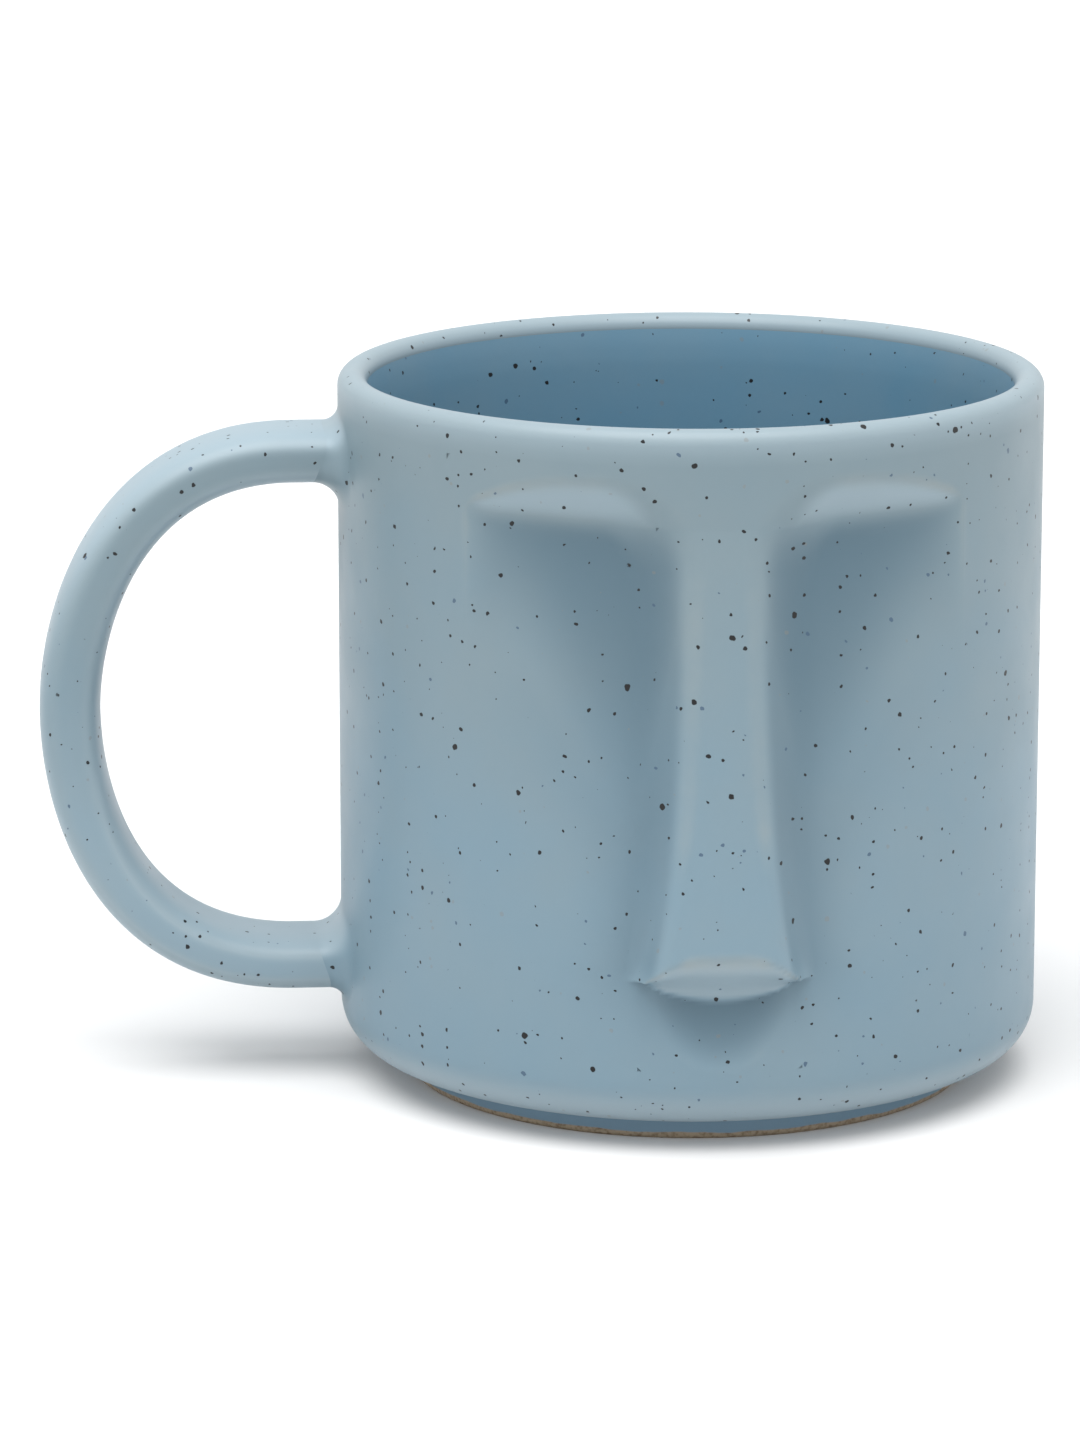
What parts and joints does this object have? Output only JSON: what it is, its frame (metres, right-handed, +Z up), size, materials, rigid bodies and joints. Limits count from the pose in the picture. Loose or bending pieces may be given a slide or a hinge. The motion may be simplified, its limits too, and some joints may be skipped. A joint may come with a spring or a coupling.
{
  "type": "ceramic mug",
  "caption": "Stoneware mug with a full-round lip, a strap handle on one side, a trimmed foot ring and a moulded face relief of brows, hollow sockets and a long nose on the front.",
  "frame": {"origin": "centre of the foot ring's contact face, on the cup's axis", "axes": "+Z up along the cup's axis; the face relief looks along -Y; the handle stands out along -X, so the overall size is longest along X"},
  "size_m": [0.1256, 0.0925, 0.0895],
  "materials": {
    "satin_glaze": "satin speckled blue-grey glaze over stoneware",
    "relief_glaze": "the same glaze, breaking paler on the edges of the relief",
    "liner_glaze": "satin speckled glaze, deeper where it is thick",
    "foot_clay": "bare, sponged stoneware at the contact face, glazed above"
  },
  "bodies": {
    "root": {"body_wall": "satin_glaze", "base_disc": "satin_glaze", "foot_ring": "foot_clay", "face_panel": "relief_glaze", "nose": "relief_glaze", "handle": "satin_glaze", "upper_handle_joint": "satin_glaze", "lower_handle_joint": "satin_glaze", "liner_glaze": "liner_glaze"}
  },
  "joints": []
}
